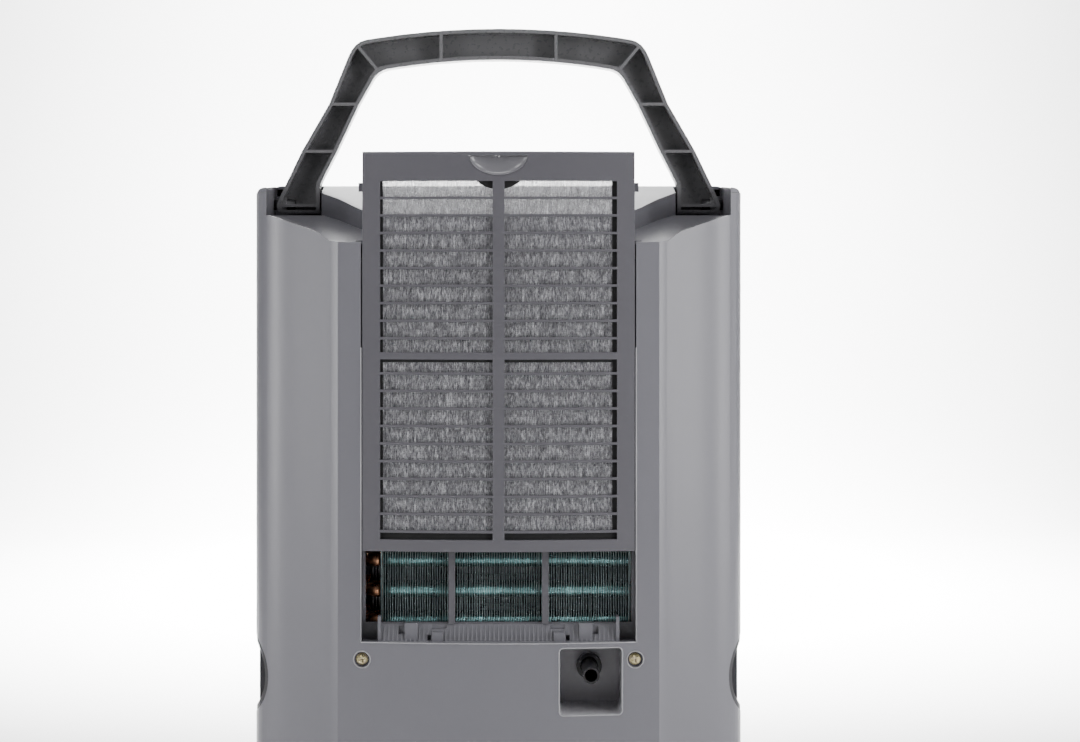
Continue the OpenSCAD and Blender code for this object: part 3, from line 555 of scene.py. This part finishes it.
def filter_net():
    """The net: upright and level strands that follow the curve of the frame."""
    low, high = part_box("filter_mesh")
    top = high.z - SHEET_TOP_GAP
    y_net = low.y + NET_DEPTH
    across = Vector((STRAND_HALF, 0, 0))
    depth = Vector((0, STRAND_HALF, 0))
    parts = []
    columns = int((high.x - low.x) / STRAND_PITCH_X)
    draw = random.Random(7)
    for i in range(columns + 1):
        x = low.x + STRAND_HALF + i * (high.x - low.x - 2 * STRAND_HALF) / columns
        if 0 < i < columns:
            x += draw.uniform(-STRAND_STRAY, STRAND_STRAY)
        y = panel_curve(x, y_net)
        ends = [Vector((x, y, low.z)), Vector((x, y, top))]
        parts.append(strip(ends, across, depth))
    y_level = y_net + 0.05 * MM
    width = high.x - low.x
    xs = [low.x + width * k / LEVEL_STRAND_STEPS for k in range(LEVEL_STRAND_STEPS + 1)]
    rows = int((top - low.z) / STRAND_PITCH_Z)
    for i in range(rows + 1):
        z = low.z + STRAND_HALF + i * (top - low.z - 2 * STRAND_HALF) / rows
        points = [Vector((x, panel_curve(x, y_level), z)) for x in xs]
        parts.append(strip(points, Vector((0, 0, -STRAND_HALF / 2)), depth / 2))
    verts, faces = join(parts)
    piece = build("filter_net", verts, faces, "filter_body", "filter_net")
    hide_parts("filter_mesh")
    return piece


def filter_sheet(net_piece):
    """The thin fleece behind the net, stretched over the frame."""
    low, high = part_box("filter_mesh")
    top = high.z - SHEET_TOP_GAP
    across, up = FLEECE_STEPS
    y_sheet = low.y + FLEECE_DEPTH
    draw = random.Random(11)
    verts = []
    for k in range(up + 1):
        for i in range(across + 1):
            x = low.x + (high.x - low.x) * i / across
            rumple = draw.uniform(-FLEECE_RUMPLE, FLEECE_RUMPLE)
            verts.append((x, panel_curve(x, y_sheet) + rumple, low.z + (top - low.z) * k / up))
    row = across + 1
    faces = [
        (k * row + i, k * row + i + 1, (k + 1) * row + i + 1, (k + 1) * row + i)
        for k in range(up)
        for i in range(across)
    ]
    piece = build("filter_fleece", verts, faces, "filter_body", "filter_net", FLEECE, smooth=True)
    return piece


# The finger cup: half width, height, depth, wall, and its rim below the top of the frame.
CUP_HALF_WIDTH = 19.6 * MM
CUP_HEIGHT = 13.2 * MM
CUP_DEPTH = 4.9 * MM
CUP_WALL = 0.35 * MM
CUP_STEPS = (40, 14)
CUP_INSET = 0.15 * MM
RIM_DROP = 2 * MM


def finger_scoop():
    """The smooth finger cup that lines the pocket in the top rail of the filter, in a lighter plastic whose
    colour paints its sheen.
    """
    rim_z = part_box("filter_frame")[1].z - RIM_DROP
    around, inward = CUP_STEPS
    verts = []
    for k in range(inward + 1):
        reach = math.cos(0.5 * math.pi * k / inward)
        sink = math.sin(0.5 * math.pi * k / inward)
        for i in range(around + 1):
            turn = math.pi * i / around
            x = -CUP_HALF_WIDTH * reach * math.cos(turn)
            z = rim_z - CUP_HEIGHT * reach * math.sin(turn)
            y = panel_curve(x, PANEL_FRONT) + CUP_INSET + CUP_DEPTH * sink
            verts.append((x, y, z))
    row = around + 1
    faces = [
        (k * row + i, (k + 1) * row + i, (k + 1) * row + i + 1, k * row + i + 1)
        for k in range(inward)
        for i in range(around)
    ]
    piece = build("filter_finger_cup", verts, faces, "filter_body", "frame_plastic", CUP_SHEEN_PLASTIC, smooth=True)
    shell = piece.modifiers.new("thickness", "SOLIDIFY")
    shell.thickness = CUP_WALL
    shell.offset = -1
    merge = piece.modifiers.new("merge", "WELD")
    merge.merge_threshold = MERGE_DISTANCE
    return piece


# Black strips of painted shade, standing in for the shaded gaps round the net: depth of their front, half
# thickness, where their edges run, and the black pad of painted shade behind the cup.
SHADE_STRIP_DEPTH = 3.05 * MM
SHADE_STRIP_HALF = 0.1 * MM
OPEN_HALF = 80.4 * MM
SHADE_STRIP_LAP = 1 * MM
SHADE_STRIP_LEFT = -78.6 * MM
SHADE_STRIP_RIGHT = 77.2 * MM
SHADE_STRIP_STEPS = 12
MIDDLE_BAR = 132.5 * MM
OPEN_BOTTOM = 7 * MM
OPEN_TOP_DROP = 18 * MM
PAD_RADIUS = 22.6 * MM
PAD_ARC = range(220, 321, 4)


def painted_shade_strips():
    """Black strips of painted shade along the sides of the net, under the middle bar and along the bottom,
    and a black pad of painted shade behind the finger cup.
    """
    low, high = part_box("filter_frame")
    face = PANEL_FRONT + SHADE_STRIP_DEPTH
    bar_z = low.z + MIDDLE_BAR
    bottom = low.z + OPEN_BOTTOM
    top = high.z - OPEN_TOP_DROP
    depth = Vector((0, SHADE_STRIP_HALF, 0))
    parts = []

    def upright(x0, x1):
        middle = (x0 + x1) / 2
        points = [Vector((middle, panel_curve(middle, face), z)) for z in (bottom, top)]
        parts.append(strip(points, Vector(((x1 - x0) / 2, 0, 0)), depth))

    def level(z0, z1):
        width = SHADE_STRIP_RIGHT - SHADE_STRIP_LEFT
        xs = [SHADE_STRIP_LEFT + width * k / SHADE_STRIP_STEPS for k in range(SHADE_STRIP_STEPS + 1)]
        points = [Vector((x, panel_curve(x, face), (z0 + z1) / 2)) for x in xs]
        parts.append(strip(points, Vector((0, 0, -(z1 - z0) / 2)), depth))

    upright(-OPEN_HALF - SHADE_STRIP_LAP, SHADE_STRIP_LEFT)
    upright(SHADE_STRIP_RIGHT, OPEN_HALF + SHADE_STRIP_LAP)
    level(bar_z - 4.4 * MM, bar_z - 1 * MM)
    level(bottom, bottom + 6.3 * MM)
    for lift in (-SHADE_STRIP_HALF, SHADE_STRIP_HALF):
        pad = []
        for degrees in PAD_ARC:
            a = math.radians(degrees)
            x = PAD_RADIUS * math.cos(a)
            pad.append(Vector((x, panel_curve(x, face + lift), high.z - RIM_DROP + PAD_RADIUS * math.sin(a))))
        order = range(len(pad)) if lift < 0 else reversed(range(len(pad)))
        parts.append((pad, [tuple(order)]))
    verts, faces = join(parts)
    return build("filter_painted_shade_strips", verts, faces, "filter_body", "black_plastic", SHADE_STRIP_PLASTIC)


# The bead along the top edge: half length, centre and half size of its half-round section.
BEAD_HALF_LENGTH = 92.4 * MM
BEAD_MIDDLE = 2.3 * MM
BEAD_HALF_DEPTH = 2.25 * MM
BEAD_HEIGHT = 1.3 * MM
BEAD_SINK = 0.2 * MM
BEAD_STEPS = 24


def top_bead():
    """The rounded bead along the top edge of the filter frame."""
    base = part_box("filter_frame")[1].z - BEAD_SINK
    turns = [math.radians(a) for a in range(0, 181, 15)]
    section = [(BEAD_MIDDLE - BEAD_HALF_DEPTH * math.cos(a), BEAD_HEIGHT * math.sin(a)) for a in turns]
    verts = []
    for i in range(BEAD_STEPS + 1):
        x = -BEAD_HALF_LENGTH + 2 * BEAD_HALF_LENGTH * i / BEAD_STEPS
        verts += [(x, panel_curve(x, PANEL_FRONT) + y, base + z) for y, z in section]
    row = len(section)
    faces = []
    for a in range(0, BEAD_STEPS * row, row):
        b = a + row
        faces += [(a + k, b + k, b + k + 1, a + k + 1) for k in range(row - 1)]
    faces += [(a + row - 1, a + 2 * row - 1, a + row, a) for a in range(0, BEAD_STEPS * row, row)]
    last = BEAD_STEPS * row
    faces += [tuple(range(row)), tuple(last + k for k in range(row - 1, -1, -1))]
    return build("filter_top_bead", verts, faces, "filter_body", "frame_plastic", smooth=True)


filter_sheet(filter_net())
finger_scoop()
painted_shade_strips()
top_bead()

# ---------------------------------------------------------------- screws
SCREW_PLACES = [(side * 92.8 * MM, z * MM) for z in (197.7, 70) for side in (-1, 1)]
# Screws: head, shank and the cross recess, with its turn in radians.
HEAD_RADIUS = 4.25 * MM
HEAD_HEIGHT = 1.5 * MM
DOME_DROP = 0.75 * HEAD_HEIGHT
SHANK_RADIUS = 1.9 * MM
SHANK_SIDES = 40
HEAD_STEPS = (96, 26)
CROSS_HALF = 0.55 * MM
CROSS_REACH = 2.6 * MM
CROSS_DEPTH = 1.2 * MM
CROSS_TURN = 0.3


def in_cross(across, up):
    """Whether a point of the head lies in the arms of its cross recess."""
    u = abs(across * math.cos(CROSS_TURN) + up * math.sin(CROSS_TURN))
    v = abs(up * math.cos(CROSS_TURN) - across * math.sin(CROSS_TURN))
    return min(u, v) < CROSS_HALF and max(u, v) < CROSS_REACH


def screw_heads():
    """Pan heads with a cross recess, on the ends of their shanks."""
    low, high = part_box("casing_screws")
    front, back = low.y, high.y
    around, rings = HEAD_STEPS
    parts = []
    for x, z in SCREW_PLACES:
        verts = [Vector((x, front + CROSS_DEPTH, z))]
        for k in range(1, rings + 1):
            reach = HEAD_RADIUS * k / rings
            dome = DOME_DROP * (1 - math.sqrt(1 - (k / rings) ** 2))
            for i in range(around):
                a = 2 * math.pi * i / around
                across, up = reach * math.cos(a), reach * math.sin(a)
                sink = CROSS_DEPTH * (1 - 0.5 * reach / CROSS_REACH) if in_cross(across, up) else dome
                verts.append(Vector((x + across, front + sink, z + up)))
        faces = [(0, 1 + i, 1 + (i + 1) % around) for i in range(around)]
        for k in range(rings - 1):
            a, b = 1 + k * around, 1 + (k + 1) * around
            faces += [(a + i, b + i, b + (i + 1) % around, a + (i + 1) % around) for i in range(around)]
        parts.append((verts, faces))
        under = front + HEAD_HEIGHT
        profile = [(front + DOME_DROP, HEAD_RADIUS), (under, HEAD_RADIUS)]
        profile += [(under, SHANK_RADIUS), (back, SHANK_RADIUS), (back, 0)]
        parts.append(lathe(profile, SHANK_SIDES, (x, 0, z), "y"))
    verts, faces = join(parts)
    heads = build("screw_heads", verts, faces, "cabinet", "screw_zinc", smooth=False)
    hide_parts("casing_screws")
    return heads


SEAL_LAP = 3 * MM
SEAL_GAP = 0.1 * MM
SEAL_THICKNESS = 1.1 * MM


def panel_seal():
    """The foam seal behind the edges of the control panel."""
    low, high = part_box("control_panel")
    y0, y1 = low.y - SEAL_GAP - SEAL_THICKNESS, low.y - SEAL_GAP
    left, left_in = low.x - SEAL_LAP, low.x + SEAL_LAP
    right_in, right = high.x - SEAL_LAP, high.x + SEAL_LAP
    bottom, bottom_in = low.z - SEAL_LAP, low.z + SEAL_LAP
    top_in, top = high.z - SEAL_LAP, high.z + SEAL_LAP
    bars = [
        (left, right, bottom, bottom_in),
        (left, right, top_in, top),
        (left, left_in, bottom_in, top_in),
        (right_in, right, bottom_in, top_in),
    ]
    parts = []
    for x0, x1, z0, z1 in bars:
        plan = ((x0, y0), (x1, y0), (x1, y1), (x0, y1))
        corners = [Vector((x, y, z)) for z in (z0, z1) for x, y in plan]
        parts.append((corners, box_faces(0)))
    verts, faces = join(parts)
    return build("panel_seal", verts, faces, "cabinet", "foot_rubber")


# The lips, in a lighter plastic that paints the highlight on their rounded edges: radius of the bead, and the
# openings that they run round.
LIP_RADIUS = 0.45 * MM
WELL_LIP_RADIUS = 0.36 * MM
WELL_RADIUS = 5.7 * MM
BAY_HALF = 93.5 * MM
BAY_FLOOR = 209.5 * MM
SIDE_LIP_LENGTH = 200 * MM
FLOOR_LIP_STEPS = 24
DRAIN_X = (41 * MM, 84 * MM)
DRAIN_Z = (160.5 * MM, 206.2 * MM)
DRAIN_CORNER = 3 * MM


def on_panel(x, z):
    """The point of the rear panel's surface at x, z."""
    return Vector((x, panel_curve(x, PANEL_FRONT), z))


def panel_arc(x, z, radius, start, end, step):
    """Points on the rear panel along an arc round x, z, with its angles in degrees."""
    turns = [math.radians(a) for a in range(start, end, step)]
    return [on_panel(x + radius * math.cos(a), z + radius * math.sin(a)) for a in turns]


def painted_highlight_lips():
    """Fine raised lips round the screw wells, the drain recess and the lower part of the filter bay, lighter
    than the shell as painted highlight.
    """
    wells = [panel_arc(x, z, WELL_RADIUS, 0, 360, 10) for x, z in SCREW_PLACES]
    parts = [bead(well, WELL_LIP_RADIUS, closed=True) for well in wells]
    left, right = DRAIN_X[0] + DRAIN_CORNER, DRAIN_X[1] - DRAIN_CORNER
    bottom, top = DRAIN_Z[0] + DRAIN_CORNER, DRAIN_Z[1] - DRAIN_CORNER
    outline = []
    for start, x, z in ((0, right, top), (90, left, top), (180, left, bottom), (270, right, bottom)):
        outline += panel_arc(x, z, DRAIN_CORNER, start, start + 91, 15)
    parts.append(bead(outline, LIP_RADIUS, closed=True))
    xs = [-BAY_HALF + 2 * BAY_HALF * k / FLOOR_LIP_STEPS for k in range(FLOOR_LIP_STEPS + 1)]
    parts.append(bead([on_panel(x, BAY_FLOOR) for x in xs], LIP_RADIUS))
    for x in (-BAY_HALF, BAY_HALF):
        parts.append(bead([on_panel(x, BAY_FLOOR), on_panel(x, BAY_FLOOR + SIDE_LIP_LENGTH)], LIP_RADIUS))
    verts, faces = join(parts)
    return build("painted_highlight_lips", verts, faces, "cabinet", "shell_plastic", LIP_HIGHLIGHT_PLASTIC, smooth=True)


screw_heads()
panel_seal()
painted_highlight_lips()

# ---------------------------------------------------------------- studio
CAMERA_PLACE = (0, -1.615, 0.469)
CAMERA_LENS = 74
CAMERA_SENSOR = 36
CAMERA_SHIFT = (0.0384, -0.1028)
# The sweep: where its floor starts and bends up, radius of the bend, height and half width.
SWEEP_START = -6
SWEEP_BEND = 2.2
SWEEP_RADIUS = 0.9
SWEEP_STEPS = 10
SWEEP_HEIGHT = 5
SWEEP_HALF_WIDTH = 7
AMBIENT = 0.06
LIGHT_AIM = Vector((0, 0, 0.33))
LIGHT_DISTANCE = 2.2
# Soft boxes round the machine: bearing in degrees from the rear towards +X, rise, size and power.
SOFT_BOXES = [
    ("key_right", 50, 8, (0.45, 1.5), 23),
    ("side_right", 75, 8, (0.45, 1.5), 19),
    ("edge_right", 86, 8, (0.45, 1.5), 6),
    ("far_right", 110, 8, (0.45, 1.5), 4),
    ("key_left", -50, 8, (0.45, 1.5), 10),
    ("side_left", -75, 8, (0.45, 1.5), 21),
    ("high_left", -38, 42, (0.5, 0.5), 5),
    ("high_right", 38, 42, (0.5, 0.5), 5),
    ("overhead", 1, 76, (1.2, 0.8), 16),
    ("rim_behind", 180, 48, (1.4, 0.4), 10),
]
# Lights on the sweep behind the machine: place, aim, size, spread in degrees and power.
BACKDROP_LIGHTS = [
    ("backdrop_wall", (0.05, 1.5, 2.3), (0.05, 3.1, 0.45), (1.6, 0.5), 75, 150),
    ("backdrop_floor", (0.05, 1.3, 2.3), (0.05, 1.6, 0), (0.9, 0.6), 62, 185),
]


def sweep_paper():
    """A pale paper sweep: a floor that bends up into a wall behind the machine."""
    profile = [(SWEEP_START, 0)]
    for i in range(SWEEP_STEPS + 1):
        a = math.radians(90 * i / SWEEP_STEPS)
        profile.append((SWEEP_BEND + SWEEP_RADIUS * math.sin(a), SWEEP_RADIUS - SWEEP_RADIUS * math.cos(a)))
    profile += [(SWEEP_BEND + SWEEP_RADIUS, SWEEP_HEIGHT)]
    verts = [(x, y, z) for y, z in profile for x in (-SWEEP_HALF_WIDTH, SWEEP_HALF_WIDTH)]
    faces = [(2 * i, 2 * i + 1, 2 * i + 3, 2 * i + 2) for i in range(len(profile) - 1)]
    floor = bpy.data.meshes.new("sweep")
    floor.from_pydata(verts, [], faces)
    floor.polygons.foreach_set("use_smooth", [True] * len(floor.polygons))
    sweep = bpy.data.objects.new("sweep", floor)
    bpy.context.collection.objects.link(sweep)
    s = Shader("sweep_paper")
    s.color(s.ramp(s.noise(1.5, 2), [(0.3, (0.86, 0.86, 0.86)), (0.7, (0.89, 0.89, 0.89))]))
    s.set(Roughness=0.9)
    sweep.data.materials.append(s.material)


def soft_box(name, place, aim, size, power):
    """A rectangular light at place that faces aim."""
    data = bpy.data.lights.new(name, "AREA")
    data.shape = "RECTANGLE"
    data.size, data.size_y = size
    data.energy = power
    light = bpy.data.objects.new(name, data)
    bpy.context.collection.objects.link(light)
    light.location = place
    light.rotation_euler = (Vector(aim) - Vector(place)).to_track_quat("-Z", "Y").to_euler()
    return light


def lights():
    """Dim even light from all round, the soft boxes, and the lights on the sweep."""
    world = bpy.data.worlds.new("studio")
    bpy.context.scene.world = world
    world.use_nodes = True
    world.node_tree.nodes["Background"].inputs["Color"].default_value = (1, 1, 1, 1)
    world.node_tree.nodes["Background"].inputs["Strength"].default_value = AMBIENT
    for name, bearing, rise, size, power in SOFT_BOXES:
        turn, tilt = math.radians(bearing), math.radians(rise)
        ray = Vector((math.cos(tilt) * math.sin(turn), -math.cos(tilt) * math.cos(turn), math.sin(tilt)))
        soft_box(name, LIGHT_AIM + LIGHT_DISTANCE * ray, LIGHT_AIM, size, power)
    for name, place, aim, size, spread, power in BACKDROP_LIGHTS:
        soft_box(name, place, aim, size, power).data.spread = math.radians(spread)


def camera():
    """The camera behind the machine, level, just below the height of the casing's top."""
    data = bpy.data.cameras.new("camera")
    data.sensor_width = CAMERA_SENSOR
    data.lens = CAMERA_LENS
    data.shift_x, data.shift_y = CAMERA_SHIFT
    data.clip_start = 0.05
    view = bpy.data.objects.new("camera", data)
    bpy.context.collection.objects.link(view)
    view.location = CAMERA_PLACE
    view.rotation_euler = (math.radians(90), 0, 0)
    bpy.context.scene.camera = view


sweep_paper()
lights()
camera()
